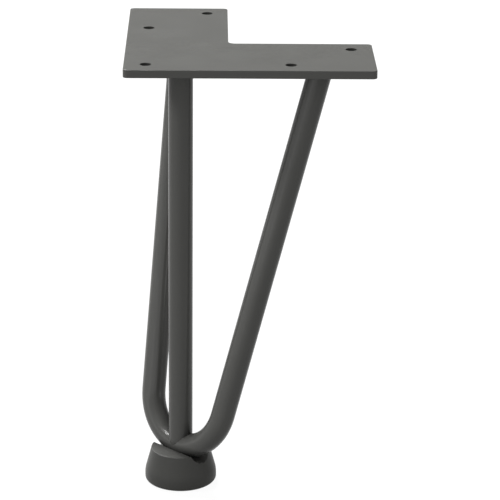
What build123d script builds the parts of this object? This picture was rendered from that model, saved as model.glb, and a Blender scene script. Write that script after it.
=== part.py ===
from build123d import *
import os
from math import asin, atan2, degrees, hypot, sqrt

# Hairpin table leg: a bent rod and an upright brace under an L-shaped plate, standing on a saddle foot.
# Millimetres, +Z up. The origin is the middle of the foot's floor face, on the axis of the upright brace.
# +X runs along the plate's front edge and +Y along its side edge. The leg is symmetric about the upright
# plane x = y, which halves the plate's corner.

# Whole leg
leg_height = 222.0  # floor to the plate's top face

# Mounting plate
plate_length = 120.0  # along each outer edge of the L
plate_width = 50.0  # across each limb of the L
plate_thickness = 4.0
plate_corner_radius = 2.25  # in plan, at the five outer corners
notch_radius = 3.5  # in plan, at the inner corner between the limbs
plate_edge_radius = 0.3  # rounding along the top and bottom outlines
hole_diameter = 5.5
hole_inset = 10.5  # hole centres from the edges beside them
hole_pitch = 69.0  # from the corner hole to the next hole along each outer edge

# Rods
rod_diameter = 12.0
rod_inset = 27.0  # rod axes from the plate's outer edges, at its underside
arm_inset = 25.0  # axis of each hairpin arm from the end of its limb, at the plate's underside
bend_radius = 25.0  # of the hairpin's bend, to the rod's axis
cope_gap = 0.05  # between the brace's coped end and the bend

# Weld beads between the rods and the plate
weld_leg = 3.5  # width on the plate and height on the rod
weld_toe = 0.3  # thickness where a bead ends on its rod

# Foot
foot_diameter = 36.0
foot_rim_diameter = 29.6
foot_height = 17.3
foot_band_height = 5.5  # where the cone would meet the upright band
foot_knee_radius = 15.0  # between the cone and the band
foot_edge_radius = 2.0  # at the floor
foot_rim_radius = 0.3  # around the top
saddle_depth = 4.3  # of the groove under the bend
saddle_gap = 0.05  # between the groove and the bend

# Distances, heights and points that follow from the sizes above
rod_radius = rod_diameter / 2
arm_spread = plate_length - rod_inset - arm_inset  # from the brace to each hairpin arm along the plate
plate_underside = leg_height - plate_thickness
bend_height = foot_height - saddle_depth + saddle_gap + rod_radius
bend_point = Vector(0, 0, bend_height)  # lowest point of the bend's axis
brace_end = Vector(0, 0, plate_underside)
front_end = Vector(arm_spread, 0, plate_underside)
side_end = Vector(0, arm_spread, plate_underside)

# The hairpin lies in a plane that leans from the bend out to the midpoint between the two arm ends.
# The plane's own x runs across the hairpin and its own y runs up it.
across = Vector(1, -1, 0).normalized()
up_hairpin = ((front_end + side_end) * 0.5 - bend_point).normalized()
hairpin_plane = Plane(origin=bend_point, x_dir=across, z_dir=across.cross(up_hairpin))

# Each arm leaves the bend along its tangent, so where the arm ends settles how far the bend turns.
end_x = (front_end - bend_point).dot(across)
end_y = (front_end - bend_point).dot(up_hairpin)
reach = hypot(end_x, end_y - bend_radius)  # from the bend's centre to an arm's end
half_turn = degrees(asin(bend_radius / reach) + atan2(end_y - bend_radius, end_x))
arm_length = sqrt(reach**2 - bend_radius**2)

# Mounting plate: the L's outline with rounded edges, then the screw holes
with BuildPart() as mounting_plate:
    plate_corner = Vector(-rod_inset, -rod_inset)
    with BuildSketch(Plane.XY.offset(plate_underside)) as outline:
        with Locations(plate_corner):
            Rectangle(plate_length, plate_width, align=(Align.MIN, Align.MIN))
            Rectangle(plate_width, plate_length, align=(Align.MIN, Align.MIN))
        # The outer corners are rounded first, so that the nearest point to the notch is still its sharp corner
        notch = plate_corner + Vector(plate_width, plate_width)
        fillet(outline.vertices().sort_by_distance(notch)[1:], plate_corner_radius)
        fillet(outline.vertices().sort_by_distance(notch)[0], notch_radius)
    extrude(amount=plate_thickness)
    fillet(mounting_plate.faces().filter_by(Axis.Z).edges(), plate_edge_radius)
    next_hole = hole_inset + hole_pitch
    end_hole = plate_length - hole_inset
    inner_hole = plate_width - hole_inset
    hole_places = [
        (hole_inset, hole_inset),
        (next_hole, hole_inset),
        (hole_inset, next_hole),
        (end_hole, inner_hole),
        (inner_hole, end_hole),
    ]
    with Locations(*[plate_corner + Vector(x, y, leg_height) for x, y in hole_places]):
        Hole(hole_diameter / 2)

# Hairpin rod: one bar along both arms and the bend, run past the plate's underside and cut level with it
with BuildPart() as hairpin_rod:
    with BuildLine(hairpin_plane) as centreline:
        bend = CenterArc((0, bend_radius), bend_radius, -90 - half_turn, 2 * half_turn)
        Line(bend @ 0, bend @ 0 - (bend % 0) * (arm_length + rod_diameter))
        Line(bend @ 1, bend @ 1 + (bend % 1) * (arm_length + rod_diameter))
    path = centreline.wire()
    with BuildSketch(Plane(origin=path @ 0, z_dir=path % 0)):
        Circle(rod_radius)
    sweep(path=path)
    split(bisect_by=Plane.XY.offset(plate_underside), keep=Keep.BOTTOM)

# Brace rod: an upright bar whose lower end is coped to sit over the bend
with BuildPart() as brace_rod:
    with BuildSketch(Plane.XY.offset(bend_height)):
        Circle(rod_radius)
    extrude(amount=plate_underside - bend_height)
    with BuildLine(hairpin_plane) as bend_line:
        CenterArc((0, bend_radius), bend_radius, -90 - half_turn, 2 * half_turn)
    bend_path = bend_line.wire()
    with BuildSketch(Plane(origin=bend_path @ 0, z_dir=bend_path % 0)):
        Circle(rod_radius + cope_gap)
    sweep(path=bend_path, mode=Mode.SUBTRACT)


def weld_bead(end, lean):
    """A fillet bead around a rod whose axis, along lean, meets the plate's underside at end."""
    heading = Vector(lean.X, lean.Y) if lean.X or lean.Y else across
    stretch = 1 / lean.Z  # a level cut through a leaning rod is an ellipse, longer along its heading
    with BuildPart() as bead:
        for drop, width in ((0, weld_leg), (weld_leg, weld_toe)):
            level = Plane(origin=end - lean * (drop * stretch), x_dir=heading, z_dir=(0, 0, 1))
            with BuildSketch(level):
                Ellipse(rod_radius * stretch + width, rod_radius + width)
        loft()
        with BuildSketch(Plane(origin=end - lean * rod_diameter, z_dir=lean)):
            Circle(rod_radius)
        extrude(amount=2 * rod_diameter, mode=Mode.SUBTRACT)
    return bead


# Weld beads: the brace stands upright, and each arm keeps the direction in which it leaves the bend
corner_weld = weld_bead(brace_end, Vector(0, 0, 1))
side_weld = weld_bead(side_end, -(path % 0))
front_weld = weld_bead(front_end, path % 1)

# Foot: a turned profile, then a straight groove across the top for the bend to sit in
with BuildPart() as foot:
    floor_corner = (foot_diameter / 2, 0)
    knee_corner = (foot_diameter / 2, foot_band_height)
    rim_corner = (foot_rim_diameter / 2, foot_height)
    with BuildSketch(Plane.XZ) as profile:
        with BuildLine():
            Polyline((0, 0), floor_corner, knee_corner, rim_corner, (0, foot_height), close=True)
        make_face()
        for corner, radius in (
            (floor_corner, foot_edge_radius),
            (knee_corner, foot_knee_radius),
            (rim_corner, foot_rim_radius),
        ):
            fillet(profile.vertices().sort_by_distance(corner)[0], radius)
    revolve(axis=Axis.Z)
    with BuildSketch(Plane(origin=bend_point, z_dir=across)):
        Circle(rod_radius + saddle_gap)
    extrude(amount=foot_diameter, both=True, mode=Mode.SUBTRACT)

os.makedirs("parts", exist_ok=True)
pieces = {
    "mounting_plate": mounting_plate,
    "hairpin_rod": hairpin_rod,
    "brace_rod": brace_rod,
    "corner_weld": corner_weld,
    "front_weld": front_weld,
    "side_weld": side_weld,
    "foot": foot,
}
for name, piece in pieces.items():
    piece.part.label = name
    export_step(piece.part, f"parts/{name}.step")
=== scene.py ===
"""Looks of the hairpin table leg: coated steel, a moulded foot, a white studio and the photo's camera."""

from math import cos, pi, radians, sin

import bpy
from mathutils import Matrix, Vector


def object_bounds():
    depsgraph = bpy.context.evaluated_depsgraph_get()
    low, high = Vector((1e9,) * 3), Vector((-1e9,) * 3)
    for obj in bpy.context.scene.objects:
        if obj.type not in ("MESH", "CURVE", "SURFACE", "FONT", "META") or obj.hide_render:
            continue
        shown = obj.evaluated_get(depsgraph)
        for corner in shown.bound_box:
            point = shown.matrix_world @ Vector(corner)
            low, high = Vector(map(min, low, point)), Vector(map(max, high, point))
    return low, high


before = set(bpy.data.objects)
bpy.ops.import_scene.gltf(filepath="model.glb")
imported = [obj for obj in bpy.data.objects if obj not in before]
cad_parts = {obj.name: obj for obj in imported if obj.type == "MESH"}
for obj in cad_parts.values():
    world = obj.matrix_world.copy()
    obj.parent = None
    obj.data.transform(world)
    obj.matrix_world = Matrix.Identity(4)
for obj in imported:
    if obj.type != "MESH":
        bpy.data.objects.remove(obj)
cad_low, cad_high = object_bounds()

# Camera, fitted to the plate's corners and holes, the rods' edges and the foot's outline in the photo
CAMERA_PLACE = Vector((0.01425, -1.14669, 0.53090))  # metres, in the leg's own frame
CAMERA_PITCH = radians(19.574)  # looking down
CAMERA_YAW = radians(-0.995)  # turned about the upright axis
CAMERA_ROLL = radians(0.567)
CAMERA_LENS = 177.75  # mm, on the sensor below
CAMERA_SENSOR = 36.0  # mm

# Stage: the floor and the wall round it, so that low views end in white too
FLOOR_RADIUS = 8.0  # metres
BACKDROP_HEIGHT = 1.2  # metres
STAGE_SIDES = 96  # of the floor's outline and the wall
STAGE_COLOUR = (0.93, 0.93, 0.93)
STAGE_GLOW_SHARE = 0.94  # of it that shows as plain white, where the rest is lit and keeps the shadow

# Light. A level of 1 is white.
SKY_LIGHT_SIDE = Vector((-0.4, -0.917, 0))  # where the surroundings are palest, left of the camera
SKY_PALE = 1.0  # their level there
SKY_DARK = 0.02  # and on the opposite side
LAMP_TARGET = Vector((0.02, 0.02, 0.12))  # metres, the middle of the leg
STRIP_LIFT = 4  # degrees, of the low strips, so that the plate doesn't mirror them in most views
STRIP_AWAY = 2.0  # metres
STRIP_HEIGHT = 0.44  # metres

# Colours, linear
COAT_DARK = (0.069, 0.069, 0.0652)
COAT_LIGHT = (0.0715, 0.0715, 0.0676)
FOOT_DARK = (0.0495, 0.0495, 0.0467)
FOOT_LIGHT = (0.0525, 0.0525, 0.0496)

# Finish
NOISE_LOW, NOISE_HIGH = 0.3, 0.7  # noise mostly lies between these
MOTTLE_DETAIL = 3
GRAIN_DETAIL = 2
GRAIN_HEIGHT = 0.000003  # metres
CREVICE_SHADE_SHARE = 0.4  # of the coat's colour left in holes and crevices, as painted shade
CREVICE_REACH = 0.008  # metres, the distance from other surfaces within which it darkens
CREVICE_CLOSED, CREVICE_OPEN = 0.35, 0.95  # openness at which it is darkest, and no longer darker


class Graph:
    """A node tree with short ways to add nodes and join them."""

    def __init__(self, owner):
        owner.use_nodes = True
        self.tree = owner.node_tree
        self.tree.nodes.clear()

    def add(self, kind, settings=None, **inputs):
        """A node of this kind. An input is a value, or another node's output socket to link to it."""
        made = self.tree.nodes.new(kind)
        for name, value in (settings or {}).items():
            setattr(made, name, value)
        for name, value in inputs.items():
            self.feed(made.inputs[name.replace("_", " ")], value)
        return made

    def feed(self, socket, value):
        """Gives an input socket a value, or links another node's output socket to it."""
        if isinstance(value, bpy.types.NodeSocket):
            self.tree.links.new(value, socket)
        else:
            socket.default_value = value

    def combine(self, kind, operation, first, second):
        """What a maths node of this kind and operation makes of two inputs."""
        made = self.add(kind, {"operation": operation})
        self.feed(made.inputs[0], first)
        self.feed(made.inputs[1], second)
        return made.outputs["Value"]

    def noise(self, place, scale, detail):
        """Noise of that many features to the metre, from 0 to 1."""
        made = self.add("ShaderNodeTexNoise", Vector=place, Scale=scale, Detail=detail)
        return made.outputs["Fac"]

    def between(self, share, low, high, start=NOISE_LOW, end=NOISE_HIGH):
        """A number from low to high as share goes from start to end."""
        made = self.add(
            "ShaderNodeMapRange",
            Value=share,
            From_Min=start,
            From_Max=end,
            To_Min=low,
            To_Max=high,
        )
        return made.outputs["Result"]

    def tones(self, noise, dark, light):
        """A colour from dark to light as the noise goes from low to high."""
        made = self.add("ShaderNodeValToRGB", Fac=noise)
        first, last = made.color_ramp.elements
        first.position, first.color = NOISE_LOW, (*dark, 1)
        last.position, last.color = NOISE_HIGH, (*light, 1)
        return made.outputs["Color"]

    def paint_crevice_shade(self, colour):
        """The colour with painted shade: darker where other surfaces stand close by, as in holes,
        crevices and where parts meet.
        """
        openness = self.add("ShaderNodeAmbientOcclusion", Distance=CREVICE_REACH).outputs["AO"]
        share = self.between(openness, CREVICE_SHADE_SHARE, 1, start=CREVICE_CLOSED, end=CREVICE_OPEN)
        made = self.add("ShaderNodeVectorMath", {"operation": "SCALE"}, Vector=colour, Scale=share)
        return made.outputs["Vector"]


def coated_material(name, dark, light, roughness, gloss, grain_scale, mottle_scale, painted_crevice_shade):
    """A matt to satin finish: two close tones in soft patches, and a fine even grain as bump."""
    material = bpy.data.materials.new(name)
    graph = Graph(material)
    place = graph.add("ShaderNodeTexCoord").outputs["Object"]
    mottle = graph.noise(place, mottle_scale, MOTTLE_DETAIL)
    grain = graph.noise(place, grain_scale, GRAIN_DETAIL)
    bump = graph.add("ShaderNodeBump", Height=grain, Strength=1.0, Distance=GRAIN_HEIGHT)
    colour = graph.tones(mottle, dark, light)
    # Painted shade: the coat's colour is darkened by ambient occlusion in holes, crevices and where parts
    # meet
    if painted_crevice_shade:
        colour = graph.paint_crevice_shade(colour)
    shader = graph.add(
        "ShaderNodeBsdfPrincipled",
        Base_Color=colour,
        Roughness=graph.between(mottle, *roughness),
        Specular_IOR_Level=gloss,
        Normal=bump.outputs["Normal"],
    )
    graph.add("ShaderNodeOutputMaterial", Surface=shader.outputs["BSDF"])
    return material


def give(material, *nodes):
    """Puts the material on each of these CAD nodes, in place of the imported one."""
    for name in nodes:
        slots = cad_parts[name].data.materials
        slots.clear()
        slots.append(material)


def make_world():
    """Surroundings that are pale on one side and dark on the other, and light the leg softly."""
    world = bpy.data.worlds.new("studio")
    bpy.context.scene.world = world
    graph = Graph(world)
    heading = graph.add("ShaderNodeTexCoord").outputs["Generated"]
    turn = graph.combine("ShaderNodeVectorMath", "DOT_PRODUCT", heading, SKY_LIGHT_SIDE)
    sky = graph.add(
        "ShaderNodeBackground",
        Color=(1, 1, 1, 1),
        Strength=graph.between(turn, SKY_DARK, SKY_PALE, start=-1, end=1),
    )
    graph.add("ShaderNodeOutputWorld", Surface=sky.outputs["Background"])


def stage_material():
    """White to the camera and in reflections, with a lit share that keeps the leg's shadow."""
    material = bpy.data.materials.new("stage_white")
    graph = Graph(material)
    rays = graph.add("ShaderNodeLightPath").outputs
    seen = rays["Is Camera Ray"]
    for kind in ("Is Glossy Ray", "Is Transmission Ray"):
        seen = graph.combine("ShaderNodeMath", "MAXIMUM", seen, rays[kind])
    glow = graph.add("ShaderNodeEmission", Strength=seen)
    matt = graph.add("ShaderNodeBsdfDiffuse", Color=(*STAGE_COLOUR, 1))
    both = graph.add("ShaderNodeMixShader", Fac=STAGE_GLOW_SHARE)
    graph.feed(both.inputs[1], matt.outputs["BSDF"])
    graph.feed(both.inputs[2], glow.outputs["Emission"])
    graph.add("ShaderNodeOutputMaterial", Surface=both.outputs["Shader"])
    return material


def make_stage():
    """A wide white floor under the foot, and a low white backdrop all round it."""
    material = stage_material()
    bpy.ops.mesh.primitive_circle_add(
        vertices=STAGE_SIDES,
        radius=FLOOR_RADIUS,
        fill_type="NGON",
        location=(0, 0, cad_low.z),
    )
    floor = bpy.context.object
    floor.name = "floor"
    bpy.ops.mesh.primitive_cylinder_add(
        vertices=STAGE_SIDES,
        radius=FLOOR_RADIUS,
        depth=BACKDROP_HEIGHT,
        end_fill_type="NOTHING",
        location=(0, 0, cad_low.z + BACKDROP_HEIGHT / 2),
    )
    backdrop = bpy.context.object
    backdrop.name = "backdrop"
    for piece in (floor, backdrop):
        piece.data.materials.append(material)


def make_softbox(name, turn, width, level, lift=STRIP_LIFT, away=STRIP_AWAY, height=STRIP_HEIGHT):
    """A lamp that faces the leg. Its turn, 0 on the right and 90 behind, and its lift are in degrees."""
    data = bpy.data.lights.new(name, "AREA")
    data.shape = "RECTANGLE"
    data.size = width
    data.size_y = height
    data.energy = level * pi * width * height
    lamp = bpy.data.objects.new(name, data)
    turn, lift = radians(turn), radians(lift)
    heading = Vector((cos(lift) * cos(turn), cos(lift) * sin(turn), sin(lift)))
    lamp.location = LAMP_TARGET + heading * away
    lamp.rotation_euler = heading.to_track_quat("Z", "Y").to_euler()
    bpy.context.collection.objects.link(lamp)


def make_camera():
    """The photo's camera: pitched down, and turned and rolled by about a degree."""
    data = bpy.data.cameras.new("camera")
    data.lens = CAMERA_LENS
    data.sensor_width = CAMERA_SENSOR
    camera = bpy.data.objects.new("camera", data)
    turned = Matrix.Rotation(CAMERA_YAW, 4, "Z")
    pitched = Matrix.Rotation(radians(90) - CAMERA_PITCH, 4, "X")
    rolled = Matrix.Rotation(CAMERA_ROLL, 4, "Z")
    camera.matrix_world = Matrix.Translation(CAMERA_PLACE) @ turned @ pitched @ rolled
    bpy.context.collection.objects.link(camera)
    bpy.context.scene.camera = camera


powder_coat = coated_material(
    "satin_powder_coat",
    COAT_DARK,
    COAT_LIGHT,
    roughness=(0.2, 0.22),
    gloss=0.15,
    grain_scale=2400,
    mottle_scale=55,
    # painted shade in the coat's holes and crevices
    painted_crevice_shade=True,
)
foot_plastic = coated_material(
    "moulded_foot",
    FOOT_DARK,
    FOOT_LIGHT,
    roughness=(0.36, 0.44),
    gloss=0.08,
    grain_scale=3000,
    mottle_scale=80,
    painted_crevice_shade=False,
)
give(powder_coat, "mounting_plate", "hairpin_rod", "brace_rod")
give(powder_coat, "corner_weld", "front_weld", "side_weld")
give(foot_plastic, "foot")

make_world()
make_stage()
make_softbox("key_softbox", turn=113, width=1.28, level=46.8, lift=48, away=3.0, height=1.28)
make_softbox("small_softbox", turn=187, width=0.35, level=41.5, lift=42, away=2.0, height=0.5)
make_softbox("left_softbox", turn=200, width=2.6, level=1.65)
make_softbox("front_softbox", turn=255, width=2.5, level=1.75)
make_softbox("right_softbox", turn=318, width=2.0, level=2.35)
make_camera()
bpy.context.scene.view_settings.view_transform = "Standard"
